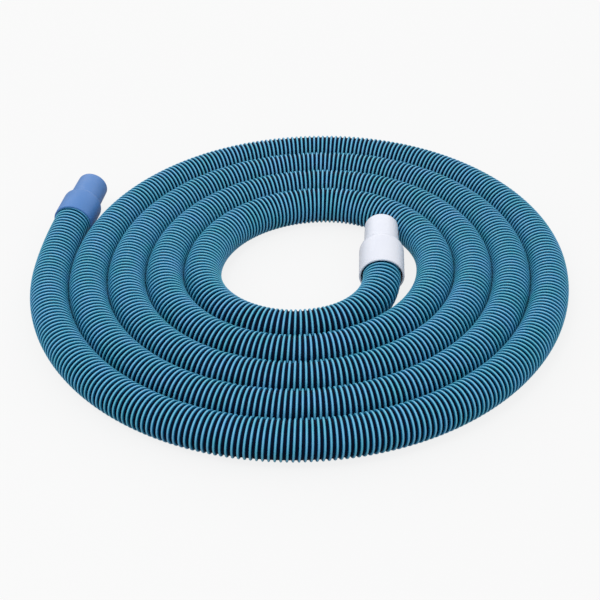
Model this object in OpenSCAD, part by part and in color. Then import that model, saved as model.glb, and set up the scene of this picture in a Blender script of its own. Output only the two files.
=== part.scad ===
// Pool vacuum hose, coiled flat on the ground.
// One spiral-wound hose, a fixed cuff on its outer end and a swivel cuff on its inner end.
// Millimetres, +Z up. The origin is on the ground under the middle of the coil.

/* [Hose] */
// Outside diameter of the hose over its ribs
hose_od = 48; // [44:0.5:58]
// Inside diameter of the hose
hose_id = 38; // [31:0.5:41]

/* [Coil] */
// Mean radius of the open middle of the coil, inside the innermost turn
middle_r = 96; // [80:1:130]
// How far opposite quarter turns are wider or tighter than round
coil_oval = 16; // [0:1:20]
// Gap between neighbouring turns
turn_gap = 0.4; // [0.3:0.1:2]
// How far the coil runs past its last whole quarter turn, in degrees
last_sweep = 18; // [10:1:24]

/* [Fixed end] */
// Bend radius of the hose from the coil to the fixed cuff
fixed_bend_r = 590; // [500:10:900]
// Angle of that bend
fixed_bend = 11; // [6:1:14]
// Length of the fixed cuff
fixed_len = 87; // [78:1:115]
// Length of its wide barrel, which holds the hose
fixed_barrel_len = 35; // [32:1:46]
// Wall of its barrel
fixed_wall = 2.8; // [1.5:0.1:3.5]
// Outside diameter where its nozzle starts
fixed_nozzle_od = 43.4; // [41.5:0.1:46]
// Outside diameter at its nozzle's tip
fixed_tip_od = 42.2; // [40.4:0.1:44]

/* [Swivel end] */
// Compass direction of the swivel cuff, anticlockwise from +X, in degrees
swivel_heading = 87.5; // [80:0.5:94]
// Length of the swivel cuff
swivel_len = 103; // [88:1:124]
// Length of its wide barrel
swivel_barrel_len = 45; // [43:1:54]
// Wall of its barrel
swivel_wall = 2.4; // [1.5:0.1:3.5]
// Outside diameter where its nozzle starts
swivel_nozzle_od = 46; // [43:0.1:50]
// Outside diameter at its nozzle's tip
swivel_tip_od = 44; // [42:0.1:48]
// Gap between the nozzle's tip and the turn of hose beside it
rest_gap = 1.5; // [1:0.1:6]

/* [Swivel joint] */
// Wall of the sleeve that is fixed on the hose
sleeve_wall = 1.5; // [1:0.1:2]
// How far the retaining ring laps behind the sleeve's flange
catch = 1; // [0.5:0.1:1.5]
// Clearance all round between the turning and the fixed pieces
run_gap = 0.2; // [0.1:0.05:0.4]
// Thickness of the sleeve's flange
flange_t = 3; // [2:0.1:4]
// Thickness of the sealing washer
seal_t = 1.5; // [1:0.1:2.5]
// Width of the retaining ring
ring_w = 3; // [2:0.1:5]

/* [Nozzles] */
// Bore of both nozzles, for a 1.5 inch fitting
nozzle_bore = 38.1; // [32:0.1:39]

/* [Hidden] */
$fn = 96;

hose_r = hose_od / 2;
bore_r = nozzle_bore / 2;
turn_pitch = hose_od + turn_gap;
// Edge break at a cuff's mouth and at its tip
edge = 0.8;
// Length of the round shoulder between a cuff's barrel and its nozzle
fixed_taper = 12;
swivel_taper = 15;
// Height of a cuff's lowest edge above the ground
foot_gap = 0.4;

// The coil: 17 whole quarter turns and a short last one. Every quarter is a
// true arc, and the next one starts where it ends, in the same direction.
whole_quarters = 17;
function quarter_r(i) = middle_r + hose_r + (whole_quarters - i) * turn_pitch / 4
    + (i % 2 == 0 ? -coil_oval : coil_oval);
function heading(a) = [cos(a), sin(a)];
// Centre of quarter i, measured from the centre of the first
function quarter_from_first(i) = i == 0 ? [0, 0] : quarter_from_first(i - 1)
    + (quarter_r(i - 1) - quarter_r(i)) * heading(180 + 90 * i);
// Middle of the coil's outline, measured the same way
middle = [(quarter_from_first(2).x + quarter_r(2) - quarter_r(0)) / 2,
          (quarter_from_first(1).y - quarter_r(1) + quarter_from_first(3).y + quarter_r(3)) / 2];
function quarter_centre(i) = quarter_from_first(i) - middle;
function up(p, z) = [p.x, p.y, z];

// Fixed end: the hose leaves the first quarter backwards and bends gently,
// rising just enough for the cuff's barrel to clear the ground.
coil_start = quarter_centre(0) + quarter_r(0) * heading(180);
fixed_barrel_r = hose_r + fixed_wall;
fixed_rise = fixed_wall + foot_gap;
fixed_tilt = asin(fixed_rise / (fixed_bend_r * (1 - cos(fixed_bend))));
// How deep the hose sits in the fixed cuff
fixed_socket = fixed_barrel_len - 4;

// Swivel joint, from the outside in
sleeve_r = hose_r + sleeve_wall;
ring_r = sleeve_r + run_gap;
swivel_bore_r = ring_r + catch;
flange_r = swivel_bore_r - run_gap;
swivel_barrel_r = swivel_bore_r + swivel_wall;
// Places along the swivel axis, from the cuff's mouth
shoulder_s = swivel_barrel_len - 3;
seal_s = shoulder_s - run_gap - seal_t;
flange_s = seal_s - flange_t;
ring_s = flange_s - run_gap - ring_w;
sleeve_s = 8;
// The lip that the hose end butts against
lip_t = 2;
hose_end_s = seal_s - lip_t;
// Inner radius of the cuff's shoulder and of the washer
shoulder_r = bore_r + 2.5;

// Swivel end: the last bend's radius is the one that brings the nozzle's tip
// beside the turn of hose that it rests against.
coil_end = quarter_centre(whole_quarters)
    + quarter_r(whole_quarters) * heading(270 + last_sweep);
end_step = heading(swivel_heading - 90) - heading(last_sweep - 90);
rest_quarter = whole_quarters - 3;
tip_from_rest = coil_end + swivel_len * heading(swivel_heading) - quarter_centre(rest_quarter);
// Share of the tip's radius that faces the turn, which it meets at a slant
slant = 0.68;
rest_r = quarter_r(rest_quarter) - hose_r - rest_gap - slant * swivel_tip_od / 2;
along = tip_from_rest * end_step;
step2 = end_step * end_step;
swivel_bend_r = (sqrt(along ^ 2 - step2 * (tip_from_rest * tip_from_rest - rest_r ^ 2)) - along) / step2;
swivel_bend = swivel_heading - last_sweep;
swivel_rise = swivel_barrel_r - hose_r + foot_gap;
swivel_tilt = asin(swivel_rise / (swivel_bend_r * (1 - cos(swivel_bend))));

// Cross-section of the hose wall, with its axis at the given distance
module hose_section(r = 0) {
    translate([r, 0]) difference() {
        circle(r = hose_r);
        circle(r = hose_id / 2);
    }
}

// One arc of hose about the origin, from angle 0
module hose_arc(r, sweep) {
    rotate_extrude(angle = sweep) hose_section(r);
}

// Whole quarters of the coil, from the first to the last given
module quarter_turns(first, last) {
    for (i = [first : last])
        translate(up(quarter_centre(i), hose_r)) rotate([0, 0, 180 + 90 * i])
            hose_arc(quarter_r(i), i < whole_quarters ? 90 : last_sweep);
}

// Points of a cuff's round shoulder, which leaves the barrel at [r0, s0] without an edge
// and meets the nozzle at [r1, s1]
function shoulder(r0, s0, r1, s1, n = 6) =
    let (fall = 2 * atan((r0 - r1) / (s1 - s0)), r = (s1 - s0) / sin(fall))
    [for (k = [1 : n - 1]) [r0 - r * (1 - cos(fall * k / n)), s0 + r * sin(fall * k / n)]];

// Moves its children to the fixed cuff's mouth, with +Y out along the hose
module at_fixed_mouth() {
    translate(up(coil_start, hose_r)) rotate([0, -fixed_tilt, 0]) translate([fixed_bend_r, 0, 0])
        rotate([0, 0, -fixed_bend]) translate([-fixed_bend_r, 0, 0]) children();
}

// The same for the swivel cuff
module at_swivel_mouth() {
    translate(up(coil_end, hose_r)) rotate([0, 0, last_sweep - 90]) rotate([0, swivel_tilt, 0])
        translate([-swivel_bend_r, 0, 0]) rotate([0, 0, swivel_bend])
        translate([swivel_bend_r, 0, 0]) children();
}

// The same two places, with +Z out along the hose
module at_fixed_end() {
    at_fixed_mouth() rotate([-90, 0, 0]) children();
}

module at_swivel_end() {
    at_swivel_mouth() rotate([-90, 0, 0]) children();
}

// The hose is one length. It is drawn as stretches that meet face to face: the coil's
// turns from the outside in, and at each end a bend with the straight end in its cuff.
module hose_turn_1() {
    color("steelblue") quarter_turns(0, 3);
}

module hose_turn_2() {
    color("steelblue") quarter_turns(4, 7);
}

module hose_turn_3() {
    color("steelblue") quarter_turns(8, 11);
}

module hose_turn_4() {
    color("steelblue") quarter_turns(12, 15);
}

// The last turn is only a little over a quarter
module hose_turn_5() {
    color("steelblue") quarter_turns(16, whole_quarters);
}

module hose_fixed_end() {
    color("steelblue") at_fixed_mouth() {
        translate([fixed_bend_r, 0, 0]) rotate([0, 0, 180]) hose_arc(fixed_bend_r, fixed_bend);
        rotate([-90, 0, 0]) linear_extrude(fixed_socket) hose_section();
    }
}

module hose_swivel_end() {
    color("steelblue") at_swivel_mouth() {
        translate([-swivel_bend_r, 0, 0]) mirror([0, 1, 0]) hose_arc(swivel_bend_r, swivel_bend);
        rotate([-90, 0, 0]) linear_extrude(hose_end_s) hose_section();
    }
}

// Fixed cuff: a barrel bonded on the hose, a shoulder and a nozzle
module fixed_cuff() {
    taper_end = fixed_barrel_len + fixed_taper;
    color("cornflowerblue") at_fixed_end() rotate_extrude() polygon(concat([
        [hose_r, 0],
        [fixed_barrel_r - edge, 0],
        [fixed_barrel_r, edge],
        [fixed_barrel_r, fixed_barrel_len]],
        shoulder(fixed_barrel_r, fixed_barrel_len, fixed_nozzle_od / 2, taper_end), [
        [fixed_nozzle_od / 2, taper_end],
        [fixed_tip_od / 2, fixed_len - edge],
        [fixed_tip_od / 2 - edge, fixed_len],
        [bore_r, fixed_len],
        [bore_r, taper_end],
        [bore_r + 1, fixed_socket],
        [hose_r, fixed_socket]]));
}

// Sleeve: bonded over the hose end, with a stop lip and an outer flange
module swivel_sleeve() {
    color("darkslategray") at_swivel_end() rotate_extrude() polygon([
        [hose_r, sleeve_s],
        [sleeve_r, sleeve_s],
        [sleeve_r, flange_s],
        [flange_r, flange_s],
        [flange_r, seal_s],
        [bore_r, seal_s],
        [bore_r, hose_end_s],
        [hose_r, hose_end_s]]);
}

// Washer between the sleeve's flange and the cuff's shoulder
module swivel_seal() {
    color("dimgray") at_swivel_end() translate([0, 0, seal_s]) linear_extrude(seal_t) difference() {
        circle(r = flange_r);
        circle(r = shoulder_r);
    }
}

// Swivel cuff: turns on the sleeve
module swivel_cuff() {
    taper_end = swivel_barrel_len + swivel_taper;
    color("ghostwhite") at_swivel_end() rotate_extrude() polygon(concat([
        [swivel_bore_r, 0],
        [swivel_barrel_r - edge, 0],
        [swivel_barrel_r, edge],
        [swivel_barrel_r, swivel_barrel_len]],
        shoulder(swivel_barrel_r, swivel_barrel_len, swivel_nozzle_od / 2, taper_end), [
        [swivel_nozzle_od / 2, taper_end],
        [swivel_tip_od / 2, swivel_len - edge],
        [swivel_tip_od / 2 - edge, swivel_len],
        [bore_r, swivel_len],
        [bore_r, taper_end],
        [shoulder_r, shoulder_s],
        [swivel_bore_r, shoulder_s]]));
}

// Ring bonded in the cuff's barrel behind the flange, so that the cuff can't pull off
module swivel_ring() {
    color("whitesmoke") at_swivel_end() translate([0, 0, ring_s]) linear_extrude(ring_w) difference() {
        circle(r = swivel_bore_r);
        circle(r = ring_r);
    }
}

hose_turn_1();
hose_turn_2();
hose_turn_3();
hose_turn_4();
hose_turn_5();
hose_fixed_end();
hose_swivel_end();
fixed_cuff();
swivel_sleeve();
swivel_seal();
swivel_cuff();
swivel_ring();
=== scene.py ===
import math

import bpy
import numpy as np
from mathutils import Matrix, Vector


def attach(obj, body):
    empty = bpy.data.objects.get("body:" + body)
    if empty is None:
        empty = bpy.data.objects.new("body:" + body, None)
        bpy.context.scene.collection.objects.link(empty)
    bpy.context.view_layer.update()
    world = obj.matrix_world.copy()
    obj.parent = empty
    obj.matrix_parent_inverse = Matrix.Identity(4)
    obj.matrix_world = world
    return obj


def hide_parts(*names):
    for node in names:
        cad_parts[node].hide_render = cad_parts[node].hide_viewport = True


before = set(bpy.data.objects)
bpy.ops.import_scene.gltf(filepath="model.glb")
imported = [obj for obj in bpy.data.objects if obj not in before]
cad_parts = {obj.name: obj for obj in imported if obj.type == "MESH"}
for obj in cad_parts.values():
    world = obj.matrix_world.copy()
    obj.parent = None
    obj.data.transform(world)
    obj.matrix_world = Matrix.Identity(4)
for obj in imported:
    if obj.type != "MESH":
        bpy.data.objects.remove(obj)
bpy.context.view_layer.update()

# ---------------------------------------------------------------- camera

EYE_DISTANCE = 1.536
EYE_ELEVATION = math.radians(37.3)
# Where the camera looks: just in front of the coil's middle, half a hose above the ground
AIM = Vector((-0.0008, -0.0556, 0.024))

camera_data = bpy.data.cameras.new("camera")
camera_data.sensor_width = 36.0
camera_data.lens = 73.64
camera_data.dof.use_dof = False
camera = bpy.data.objects.new("camera", camera_data)
bpy.context.scene.collection.objects.link(camera)
back = Vector((0, -math.cos(EYE_ELEVATION), math.sin(EYE_ELEVATION)))
camera.location = AIM + back * EYE_DISTANCE
camera.rotation_euler = back.to_track_quat("Z", "Y").to_euler()
bpy.context.scene.camera = camera
bpy.context.scene.view_settings.view_transform = "Standard"

# ---------------------------------------------------------------- sizes, as in the CAD source, in metres

MM = 0.001
HOSE_R = 24 * MM
HOSE_BORE_R = 19 * MM
MIDDLE_R = 96 * MM
COIL_OVAL = 16 * MM
TURN_PITCH = 48.4 * MM
WHOLE_QUARTERS = 17
LAST_SWEEP = 18.0
BORE_R = 19.05 * MM

FIXED_BEND_R = 590 * MM
FIXED_BEND = 11.0
FIXED_LEN = 87 * MM
FIXED_BARREL_LEN = 35 * MM
FIXED_BARREL_R = 26.8 * MM
FIXED_TAPER = 12 * MM
FIXED_NOZZLE_R = 21.7 * MM
FIXED_TIP_R = 21.1 * MM
FIXED_SOCKET = 31 * MM

SWIVEL_HEADING = 87.5
SWIVEL_LEN = 103 * MM
SWIVEL_BARREL_LEN = 45 * MM
SWIVEL_TAPER = 15 * MM
SWIVEL_BORE_R = 26.7 * MM
SWIVEL_BARREL_R = 29.1 * MM
SWIVEL_NOZZLE_R = 23 * MM
SWIVEL_TIP_R = 22 * MM
SHOULDER_S = 42 * MM
SHOULDER_R = 21.55 * MM
HOSE_END_S = 38.3 * MM
REST_GAP = 1.5 * MM
SLANT = 0.68
FOOT_GAP = 0.4 * MM


# ---------------------------------------------------------------- the hose's route

def heading(a):
    return np.array([math.cos(math.radians(a)), math.sin(math.radians(a))])


def quarter_r(i):
    return (MIDDLE_R + HOSE_R + (WHOLE_QUARTERS - i) * TURN_PITCH / 4
            + (-COIL_OVAL if i % 2 == 0 else COIL_OVAL))


def quarter_from_first(i):
    if i == 0:
        return np.zeros(2)
    return quarter_from_first(i - 1) + (quarter_r(i - 1) - quarter_r(i)) * heading(180 + 90 * i)


MIDDLE = np.array([
    (quarter_from_first(2)[0] + quarter_r(2) - quarter_r(0)) / 2,
    (quarter_from_first(1)[1] - quarter_r(1) + quarter_from_first(3)[1] + quarter_r(3)) / 2])


def quarter_centre(i):
    return quarter_from_first(i) - MIDDLE


def move(x, y, z):
    m = np.eye(4)
    m[:3, 3] = x, y, z
    return m


def turn(axis, degrees):
    c, s = math.cos(math.radians(degrees)), math.sin(math.radians(degrees))
    m = np.eye(4)
    a, b = {"x": (1, 2), "y": (2, 0), "z": (0, 1)}[axis]
    m[a, a], m[a, b], m[b, a], m[b, b] = c, -s, s, c
    return m


def placed(matrix, points):
    points = np.asarray(points, float)
    return points @ matrix[:3, :3].T + matrix[:3, 3]


def climbing_tilt(rise, bend_r, bend):
    """The tilt in degrees that makes a bend of this radius and angle climb by rise."""
    return math.degrees(math.asin(rise / (bend_r * (1 - math.cos(math.radians(bend))))))


coil_start = quarter_centre(0) + quarter_r(0) * heading(180)
coil_end = quarter_centre(WHOLE_QUARTERS) + quarter_r(WHOLE_QUARTERS) * heading(270 + LAST_SWEEP)
fixed_rise = FIXED_BARREL_R - HOSE_R + FOOT_GAP
fixed_tilt = climbing_tilt(fixed_rise, FIXED_BEND_R, FIXED_BEND)

# The last bend's radius brings the nozzle's tip beside the turn that it rests against
end_step = heading(SWIVEL_HEADING - 90) - heading(LAST_SWEEP - 90)
tip_from_rest = coil_end + SWIVEL_LEN * heading(SWIVEL_HEADING) - quarter_centre(WHOLE_QUARTERS - 3)
rest_r = quarter_r(WHOLE_QUARTERS - 3) - HOSE_R - REST_GAP - SLANT * SWIVEL_TIP_R
along, step2 = tip_from_rest @ end_step, end_step @ end_step
root = math.sqrt(along ** 2 - step2 * (tip_from_rest @ tip_from_rest - rest_r ** 2))
swivel_bend_r = (root - along) / step2
swivel_bend = SWIVEL_HEADING - LAST_SWEEP
swivel_rise = SWIVEL_BARREL_R - HOSE_R + FOOT_GAP
swivel_tilt = climbing_tilt(swivel_rise, swivel_bend_r, swivel_bend)

# The cuffs' mouths, with +Y out along the hose
FIXED_MOUTH = (move(*coil_start, HOSE_R) @ turn("y", -fixed_tilt) @ move(FIXED_BEND_R, 0, 0)
               @ turn("z", -FIXED_BEND) @ move(-FIXED_BEND_R, 0, 0))
SWIVEL_MOUTH = (move(*coil_end, HOSE_R) @ turn("z", LAST_SWEEP - 90) @ turn("y", swivel_tilt)
                @ move(-swivel_bend_r, 0, 0) @ turn("z", swivel_bend) @ move(swivel_bend_r, 0, 0))


def arc(matrix, centre, r, first, last, step=0.5 * MM):
    n = max(2, int(math.radians(abs(last - first)) * r / step))
    a = np.radians(np.linspace(first, last, n))
    local = np.stack([centre[0] + r * np.cos(a), centre[1] + r * np.sin(a), np.zeros(n)], 1)
    return placed(matrix, local), np.full(n, 1 / r)


def straight(matrix, first, last, step=0.5 * MM):
    n = max(2, int(abs(last - first) / step))
    y = np.linspace(first, last, n)
    return placed(matrix, np.stack([np.zeros(n), y, np.zeros(n)], 1)), np.zeros(n)


def hose_line():
    """The hose's centreline from its end in the fixed cuff to its end in the swivel cuff."""
    parts = [straight(FIXED_MOUTH, FIXED_SOCKET, 0),
             arc(FIXED_MOUTH, (FIXED_BEND_R, 0), FIXED_BEND_R, 180, 180 + FIXED_BEND)]
    for i in range(WHOLE_QUARTERS + 1):
        sweep = 90 if i < WHOLE_QUARTERS else LAST_SWEEP
        first = 180 + 90 * i
        parts.append(arc(move(0, 0, HOSE_R), quarter_centre(i), quarter_r(i), first, first + sweep))
    parts.append(arc(SWIVEL_MOUTH, (-swivel_bend_r, 0), swivel_bend_r, -swivel_bend, 0))
    parts.append(straight(SWIVEL_MOUTH, 0, HOSE_END_S))
    points = np.concatenate([p if k == 0 else p[1:] for k, (p, _) in enumerate(parts)])
    bend = np.concatenate([c if k == 0 else c[1:] for k, (_, c) in enumerate(parts)])
    return points, bend


line, line_bend = hose_line()
line_s = np.concatenate([[0], np.cumsum(np.linalg.norm(np.diff(line, axis=0), axis=1))])
HOSE_LENGTH = float(line_s[-1])
line_tangent = np.gradient(line, line_s, axis=0)
line_tangent /= np.linalg.norm(line_tangent, axis=1)[:, None]
# Steps of 0.5 mm on either side that the bend is averaged over, so that the ribs open and close slowly
EASE_STEPS = 60
ease = np.full(2 * EASE_STEPS + 1, 1 / (2 * EASE_STEPS + 1))
line_bend = np.convolve(np.pad(line_bend, EASE_STEPS, "edge"), ease, "valid")


def at(s):
    """Centre, tangent, outward and upward directions and bend of the hose at these lengths along it."""
    s = np.asarray(s, float)
    clipped = np.clip(s, 0, HOSE_LENGTH)
    p, t = (np.stack([np.interp(clipped, line_s, v[:, k]) for k in range(3)], -1)
            for v in (line, line_tangent))
    t /= np.linalg.norm(t, axis=-1)[..., None]
    p = p + t * (s - clipped)[..., None]
    up = np.array([0, 0, 1.0]) - t * t[..., 2:3]
    up /= np.linalg.norm(up, axis=-1)[..., None]
    return p, t, np.cross(t, up), up, np.interp(clipped, line_s, line_bend)


# ---------------------------------------------------------------- mesh helpers

def mesh_piece(name, points, faces, material, body, uv):
    """A piece made of these points and faces, with a UV pair for each corner of each face."""
    me = bpy.data.meshes.new(name)
    me.from_pydata(np.asarray(points).tolist(), [], [list(map(int, f)) for f in faces])
    me.materials.append(material)
    me.polygons.foreach_set("use_smooth", np.ones(len(me.polygons), bool))
    layer = me.uv_layers.new(name="OFBake", do_init=False)
    layer.uv.foreach_set("vector", np.asarray(uv, np.float32).ravel())
    me.update()
    o = bpy.data.objects.new(name, me)
    bpy.context.scene.collection.objects.link(o)
    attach(o, body)
    return o


# How many times as long as wide a strip is on the sheet, and its margins as shares of its cell
STRIP_SHAPE = 8
STRIP_END_MARGIN = 0.02
STRIP_SIDE_MARGIN = 0.05


def strip_uv(i, k, per_strip, across, strips):
    """UV of a band's quads (i, k): the band is cut into strips of per_strip steps, laid side by side."""
    strip, step = i // per_strip, i % per_strip
    columns = max(1, int(math.sqrt(strips / STRIP_SHAPE)))
    rows = math.ceil(strips / columns)
    column, row = strip // rows, strip % rows
    corners = []
    for di, dk in ((0, 0), (0, 1), (1, 1), (1, 0)):
        u = (column + STRIP_END_MARGIN + (1 - 2 * STRIP_END_MARGIN) * (step + di) / per_strip) / columns
        v = (row + STRIP_SIDE_MARGIN + (1 - 2 * STRIP_SIDE_MARGIN) * (k + dk) / across) / rows
        corners.append(np.stack([u, v], -1))
    return np.stack(corners, -2).reshape(-1, 2)


def band_quads(rows, across):
    """Row and column numbers of a closed band's quads, and the corners of each quad."""
    i, k = np.meshgrid(np.arange(rows), np.arange(across), indexing="ij")
    k2 = (k + 1) % across
    corners = np.stack([i * across + k, i * across + k2, (i + 1) * across + k2, (i + 1) * across + k], -1)
    return i, k, corners.reshape(-1, 4)


# ---------------------------------------------------------------- materials

def material(name, colour, roughness):
    """A material with its Principled shader, and the object's own coordinates."""
    m = bpy.data.materials.new(name)
    m.use_nodes = True
    shader = m.node_tree.nodes["Principled BSDF"]
    shader.inputs["Base Color"].default_value = (*colour, 1)
    shader.inputs["Roughness"].default_value = roughness
    place = m.node_tree.nodes.new("ShaderNodeTexCoord").outputs["Object"]
    return m, m.node_tree, shader, place


def noise(tree, place, scale, detail):
    n = tree.nodes.new("ShaderNodeTexNoise")
    n.inputs["Scale"].default_value = scale
    n.inputs["Detail"].default_value = detail
    tree.links.new(place, n.inputs["Vector"])
    return n.outputs["Fac"]


# A noise texture seldom leaves this range
NOISE_LOW, NOISE_HIGH = 0.3, 0.7


def drifting_tint(tree, value, low, high):
    """A colour that goes from low to high over the range of a noise."""
    r = tree.nodes.new("ShaderNodeValToRGB")
    tree.links.new(value, r.inputs["Fac"])
    for element, level, colour in zip(r.color_ramp.elements, (NOISE_LOW, NOISE_HIGH), (low, high)):
        element.position = level
        element.color = (*colour, 1)
    return r.outputs["Color"]


def mapped(tree, value, low, high, at_low, at_high):
    """The value, mapped so that it is at_low at low and at_high at high."""
    r = tree.nodes.new("ShaderNodeMapRange")
    for key, number in (("From Min", low), ("From Max", high), ("To Min", at_low), ("To Max", at_high)):
        r.inputs[key].default_value = number
    tree.links.new(value, r.inputs["Value"])
    return r.outputs["Result"]


def bump(tree, shader, height, strength, distance):
    b = tree.nodes.new("ShaderNodeBump")
    b.inputs["Strength"].default_value = strength
    b.inputs["Distance"].default_value = distance
    tree.links.new(height, b.inputs["Height"])
    tree.links.new(b.outputs["Normal"], shader.inputs["Normal"])


def eva(name, low, high, roughness, specular=0.5):
    """Soft foamed plastic: its tint drifts along the hose, with a fine skin and an uneven gloss."""
    m, tree, shader, place = material(name, high, roughness)
    shader.inputs["Specular IOR Level"].default_value = specular
    tint = drifting_tint(tree, noise(tree, place, 35, 3), low, high)
    tree.links.new(tint, shader.inputs["Base Color"])
    drift = noise(tree, place, 400, 3)
    gloss = mapped(tree, drift, NOISE_LOW, NOISE_HIGH, roughness - 0.05, roughness + 0.1)
    tree.links.new(gloss, shader.inputs["Roughness"])
    bump(tree, shader, noise(tree, place, 900, 2), 0.15, 0.0003)
    return m


def moulded(name, low, high, roughness, grain=0.08):
    """Moulded plastic: a slow drift of its colour, a fine grain and a slightly uneven gloss."""
    m, tree, shader, place = material(name, high, roughness)
    tint = drifting_tint(tree, noise(tree, place, 28, 4), low, high)
    tree.links.new(tint, shader.inputs["Base Color"])
    drift = noise(tree, place, 160, 4)
    gloss = mapped(tree, drift, NOISE_LOW, NOISE_HIGH, roughness - 0.05, roughness + 0.08)
    tree.links.new(gloss, shader.inputs["Roughness"])
    bump(tree, shader, noise(tree, place, 1600, 3), grain, 0.0002)
    return m


# The ribs' rounded tops; their flanks, painted a deeper blue as shade where the ribs face each other; and
# the wall in the grooves
RIB = eva("rib_eva", (0.075, 0.405, 0.54), (0.12, 0.40, 0.66), 0.33)
PAINTED_SHADE_FLANK = eva("rib_flank_painted_shade_eva", (0.001, 0.12, 0.23), (0.002, 0.12, 0.27), 0.45, 0.12)
WALL = eva("wall_eva", (0.0004, 0.0025, 0.012), (0.0008, 0.0045, 0.02), 0.7, 0.05)
BLUE = moulded("blue_plastic", (0.055, 0.18, 0.46), (0.068, 0.20, 0.50), 0.42)
WHITE = moulded("white_plastic", (0.67, 0.69, 0.77), (0.70, 0.72, 0.79), 0.34)
DARK = moulded("dark_plastic", (0.012, 0.014, 0.02), (0.02, 0.022, 0.03), 0.45)
RUBBER = moulded("seal_rubber", (0.01, 0.01, 0.01), (0.02, 0.02, 0.02), 0.7, 0.2)

# ---------------------------------------------------------------- the hose

RIB_PITCH = 6.3 * MM
RIB_STEPS = 32
# How far the outermost ribs stay from the hose's cut ends
RIB_END = 3 * MM
GROOVE_R = 21.8 * MM
# Ring spacing of the wall, points around it, and rings in each strip of its UV map
WALL_STEP = 8 * MM
WALL_AROUND = 40
WALL_STRIP = 64
# Half of a rib's section: distance from its middle along the hose, and radius
RIB_HALF = [(0.3, 24.18), (0.7, 24.04), (1.08, 23.65), (1.5, 22.85), (1.78, 21.6)]
RIB_PIECES = 5
# Height of a rib's flat where it rests on the ground, just clear of the floor
REST_Z = 0.02 * MM


def hose_wall():
    """The wall that the ribs stand on: the tube between its outer and inner surfaces, closed at its ends."""
    rings = int(round(HOSE_LENGTH / WALL_STEP)) + 1
    p, _, out, up, _ = at(np.linspace(0, HOSE_LENGTH, rings))
    a = np.linspace(0, 2 * math.pi, WALL_AROUND, endpoint=False)
    side = np.cos(a)[None, :, None] * out[:, None] + np.sin(a)[None, :, None] * up[:, None]
    outer = p[:, None] + GROOVE_R * side
    inner = p[:, None] + HOSE_BORE_R * side
    points = np.concatenate([outer.reshape(-1, 3), inner.reshape(-1, 3)])
    first_inner = rings * WALL_AROUND

    i, k, quads = band_quads(rings - 1, WALL_AROUND)
    point = np.arange(WALL_AROUND)
    following = (point + 1) % WALL_AROUND
    near_end = np.stack([point, following, following + first_inner, point + first_inner], 1)
    far_end = near_end[:, ::-1] + (rings - 1) * WALL_AROUND
    faces = np.concatenate([quads[:, ::-1], quads + first_inner, near_end, far_end])

    strips = math.ceil(rings / WALL_STRIP)
    uv_outer = strip_uv(i, k, WALL_STRIP, WALL_AROUND, 2 * strips).reshape(-1, 4, 2)[:, ::-1]
    uv_inner = strip_uv(i + strips * WALL_STRIP, k, WALL_STRIP, WALL_AROUND, 2 * strips)
    uv_ends = np.zeros((4 * 2 * WALL_AROUND, 2))
    uv = np.concatenate([uv_outer.reshape(-1, 2), uv_inner, uv_ends])
    return mesh_piece("hose_wall", points, faces, WALL, "hose", uv), p


def rib_section():
    half = np.array(RIB_HALF) * MM
    left = half[::-1] * [-1, 1]
    return np.concatenate([left, half])


def hose_rib(number, first, last):
    """The helical rib from one step to another, as one closed piece."""
    section = rib_section()
    width = len(section)
    step = np.arange(first, last + 1)
    middle_s = RIB_END + RIB_PITCH * step / RIB_STEPS
    angle = 2 * math.pi * step[:, None] / RIB_STEPS
    bend = at(middle_s)[-1][:, None]
    r = section[None, :, 1]
    # A rib keeps its width round a bend, and the grooves open and close instead
    s = middle_s[:, None] + section[None, :, 0] / (1 + bend * r * np.cos(angle))
    p, _, out, up, _ = at(s)
    points = p + r[..., None] * (np.cos(angle)[..., None] * out + np.sin(angle)[..., None] * up)
    # The soft ribs flatten a little where they rest on the ground
    points[..., 2] = np.maximum(points[..., 2], REST_Z)

    i, k, quads = band_quads(last - first, width)
    faces = quads.tolist()
    faces.append(list(range(width))[::-1])
    faces.append([(last - first) * width + x for x in range(width)])
    uv = strip_uv(i, k, RIB_STEPS, width, math.ceil((last - first) / RIB_STEPS))
    uv = np.concatenate([uv, np.zeros((2 * width, 2))])
    rib = mesh_piece(f"hose_rib_{number}", points.reshape(-1, 3), faces, RIB, "hose", uv)
    # The flanks, the underside and the cut ends take the second material, a deeper blue that is painted
    # shade
    rib.data.materials.append(PAINTED_SHADE_FLANK)
    dark = np.isin(k, (0, 1, width - 3, width - 2, width - 1)).ravel()
    dark = np.concatenate([dark, [True, True]])
    rib.data.polygons.foreach_set("material_index", dark.astype(np.int32))
    return rib


def hose_ribs():
    steps = int((HOSE_LENGTH - 2 * RIB_END) / RIB_PITCH * RIB_STEPS)
    cuts = np.linspace(0, steps, RIB_PIECES + 1).round().astype(int)
    return [hose_rib(n + 1, cuts[n], cuts[n + 1]) for n in range(RIB_PIECES)]


wall, wall_path = hose_wall()
ribs = hose_ribs()
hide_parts(*(f"hose_turn_{n}" for n in range(1, 6)), "hose_fixed_end", "hose_swivel_end")

# ---------------------------------------------------------------- the cuffs


# Most of an edge that one corner's rounding may take up
MOST_OF_EDGE = 0.8
# The parting line's height, the angles of its cross-section, and how far it stays from edges and bore
SEAM_HEIGHT = 0.12 * MM
SEAM_ANGLES = np.radians([-1.6, -0.7, 0, 0.7, 1.6])
SEAM_CLEAR = 1.5 * MM


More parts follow.
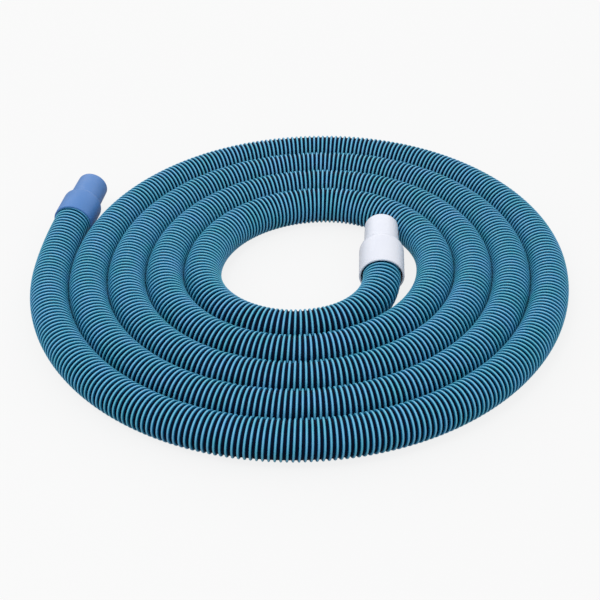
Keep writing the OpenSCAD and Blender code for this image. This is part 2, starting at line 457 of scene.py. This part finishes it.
def rounded(corners, steps=6):
    """A closed profile of (r, s, corner radius) with each corner rounded by its radius."""
    done = []
    for k, (r, s, radius) in enumerate(corners):
        here = np.array([r, s])
        before, after = (np.array(corners[(k + d) % len(corners)][:2]) for d in (-1, 1))
        a, b = before - here, after - here
        la, lb = np.linalg.norm(a), np.linalg.norm(b)
        a, b = a / la, b / lb
        half = math.acos(max(-1, min(1, a @ b))) / 2
        if radius <= 0 or half > math.radians(89.5):
            done.append(here)
            continue
        cut = min(radius / math.tan(half), MOST_OF_EDGE * la, MOST_OF_EDGE * lb)
        radius = cut * math.tan(half)
        centre = here + (a + b) / np.linalg.norm(a + b) * radius / math.sin(half)
        first, last = here + a * cut - centre, here + b * cut - centre
        sweep = math.pi - 2 * half
        for t in np.linspace(0, 1, steps + 1):
            w = (math.sin((1 - t) * sweep) * first + math.sin(t * sweep) * last) / math.sin(sweep)
            done.append(centre + w)
    return np.array(done)


def shoulder(barrel_r, start, nozzle_r, end, convex, concave):
    """The two corners of a round shoulder that starts level with the barrel and ends on the nozzle."""
    fall = 2 * math.atan((barrel_r - nozzle_r) / (end - start))
    reach = (end - start) / math.sin(fall) * math.tan(fall / 2)
    return [(barrel_r, start + reach, convex), (nozzle_r, end, concave)]


def lathe(name, mouth, corners, material_, body, around=96):
    """A turned shape with a fine parting line on either side, as a two-part mould leaves it."""
    profile = rounded(corners)
    r, s = profile[:, 0], profile[:, 1]
    half_turn = np.linspace(0, math.pi, around // 2, endpoint=False)[1:]
    a = np.concatenate([SEAM_ANGLES, half_turn, math.pi + SEAM_ANGLES, math.pi + half_turn])[:, None]
    raised = (r > BORE_R + SEAM_CLEAR) & (s > SEAM_CLEAR) & (s < s.max() - SEAM_CLEAR)
    r = r + np.where(np.abs(np.sin(a)) < 1e-9, SEAM_HEIGHT, 0) * raised
    points = np.stack([r * np.cos(a), np.broadcast_to(s, r.shape), r * np.sin(a)], -1)
    i, k, quads = band_quads(len(a), len(profile))
    quads = quads % (len(a) * len(profile))
    uv = strip_uv(i, k, len(a), len(profile), 1)
    return mesh_piece(name, placed(mouth, points.reshape(-1, 3)), quads, material_, body, uv)


fixed_taper_end = FIXED_BARREL_LEN + FIXED_TAPER
FIXED_SOCKET_R = RIB_HALF[0][1] * MM + 0.05 * MM
fixed_cuff = lathe("fixed_cuff_moulding", FIXED_MOUTH, [
    (FIXED_SOCKET_R, 0, 0.4 * MM),
    (FIXED_BARREL_R, 0, 1.0 * MM),
    *shoulder(FIXED_BARREL_R, FIXED_BARREL_LEN, FIXED_NOZZLE_R, fixed_taper_end, 9 * MM, 2.5 * MM),
    (FIXED_TIP_R, FIXED_LEN, 1.2 * MM),
    (BORE_R, FIXED_LEN, 0.5 * MM),
    (BORE_R, fixed_taper_end, 0),
    (BORE_R + 1 * MM, FIXED_SOCKET, 0.2 * MM),
    (FIXED_SOCKET_R, FIXED_SOCKET, 0)], BLUE, "hose")
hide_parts("fixed_cuff")

swivel_taper_end = SWIVEL_BARREL_LEN + SWIVEL_TAPER
swivel_cuff = lathe("swivel_cuff_moulding", SWIVEL_MOUTH, [
    (SWIVEL_BORE_R, 0, 0.5 * MM),
    (SWIVEL_BARREL_R, 0, 0.9 * MM),
    *shoulder(SWIVEL_BARREL_R, SWIVEL_BARREL_LEN, SWIVEL_NOZZLE_R, swivel_taper_end, 14 * MM, 6 * MM),
    (SWIVEL_TIP_R, SWIVEL_LEN, 1.2 * MM),
    (BORE_R, SWIVEL_LEN, 0.5 * MM),
    (BORE_R, swivel_taper_end, 0),
    (SHOULDER_R, SHOULDER_S, 0.3 * MM),
    (SWIVEL_BORE_R, SHOULDER_S, 0)], WHITE, "swivel")
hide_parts("swivel_cuff")

for node, its_material in (("swivel_sleeve", DARK), ("swivel_seal", RUBBER), ("swivel_ring", WHITE)):
    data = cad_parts[node].data
    data.materials.clear()
    data.materials.append(its_material)

# ---------------------------------------------------------------- floor and light

FLOOR_HALF = 8.0
# Brightness of the floor's glow where it is looked at, and of the horizon that it runs into
FLOOR_GLOW = 0.83
FLOOR_WHITE = 0.935
# Half the width of the painted shade strip below the line where two turns touch, and its height above the
# floor
SHADE_HALF = 9 * MM
SHADE_Z = 0.01 * MM


def stage_piece(name, points, faces, base):
    """A grey piece of the setting, which isn't part of the object. Returns its shader and its nodes."""
    me = bpy.data.meshes.new(name)
    me.from_pydata(points, [], faces)
    o = bpy.data.objects.new(name, me)
    bpy.context.scene.collection.objects.link(o)
    m = bpy.data.materials.new(name)
    m.use_nodes = True
    shader = m.node_tree.nodes["Principled BSDF"]
    shader.inputs["Base Color"].default_value = (base, base, base, 1)
    shader.inputs["Specular IOR Level"].default_value = 0.0
    me.materials.append(m)
    return shader, m.node_tree


def floor():
    """A pale floor. It glows evenly where it is looked at, and lights the undersides only faintly."""
    corners = [(-FLOOR_HALF, -FLOOR_HALF, 0), (FLOOR_HALF, -FLOOR_HALF, 0),
               (FLOOR_HALF, FLOOR_HALF, 0), (-FLOOR_HALF, FLOOR_HALF, 0)]
    shader, tree = stage_piece("floor", corners, [(0, 1, 2, 3)], 0.1)
    shader.inputs["Roughness"].default_value = 1.0
    shader.inputs["Emission Color"].default_value = (1, 1, 1, 1)
    looked_at = tree.nodes.new("ShaderNodeLightPath").outputs["Is Camera Ray"]
    tree.links.new(mapped(tree, looked_at, 0, 1, 0.3, FLOOR_GLOW), shader.inputs["Emission Strength"])


def floor_shade():
    """A dark strip of painted shade on the floor, along the lines where one turn touches the next, where the
    floor lies in the coil's own shade.
    """
    a = np.linspace(4 * 90, WHOLE_QUARTERS * 90 + LAST_SWEEP, 400)
    quarter = np.minimum(a // 90, WHOLE_QUARTERS).astype(int)
    centre = np.array([quarter_centre(q) for q in quarter])
    r = np.array([quarter_r(q) for q in quarter]) + TURN_PITCH / 2
    way = np.array([heading(180 + b) for b in a])
    edges = np.stack([centre + (r + side)[:, None] * way for side in (-SHADE_HALF, SHADE_HALF)], 1)
    points = np.concatenate([edges, np.full((len(a), 2, 1), SHADE_Z)], -1).reshape(-1, 3)
    quads = [(2 * n, 2 * n + 1, 2 * n + 3, 2 * n + 2) for n in range(len(a) - 1)]
    stage_piece("floor_shade", points.tolist(), quads, 0.02)


def area_light(name, place, aim, size, power):
    data = bpy.data.lights.new(name, "AREA")
    data.shape, data.size, data.size_y = "RECTANGLE", size[0], size[1]
    data.energy = power
    o = bpy.data.objects.new(name, data)
    bpy.context.scene.collection.objects.link(o)
    o.location = place
    o.rotation_euler = (Vector(place) - Vector(aim)).to_track_quat("Z", "Y").to_euler()


def studio_world():
    """A white horizon that the floor runs into, and a soft sky that is a little brighter on the left."""
    world = bpy.data.worlds.new("studio")
    world.use_nodes = True
    tree = world.node_tree
    way = tree.nodes.new("ShaderNodeTexCoord").outputs["Generated"]
    parts = tree.nodes.new("ShaderNodeSeparateXYZ")
    tree.links.new(way, parts.inputs[0])
    mix = tree.nodes.new("ShaderNodeMix")
    mix.data_type = "FLOAT"
    mix.inputs[2].default_value = FLOOR_WHITE
    tree.links.new(mapped(tree, parts.outputs["Z"], 0.06, 0.4, 0, 1), mix.inputs[0])
    tree.links.new(mapped(tree, parts.outputs["X"], -1, 1, 1.05, 0.9), mix.inputs[3])
    background = tree.nodes["Background"]
    tree.links.new(mix.outputs[0], background.inputs["Strength"])
    background.inputs["Color"].default_value = (1, 1, 1, 1)
    bpy.context.scene.world = world


floor()
floor_shade()
studio_world()
area_light("top_light", (-0.6, -0.8, 2.1), (0, 0, 0), (0.7, 0.7), 12)
area_light("back_light", (0, 1.9, 0.9), (0, 0.2, 0), (2.4, 0.7), 6)
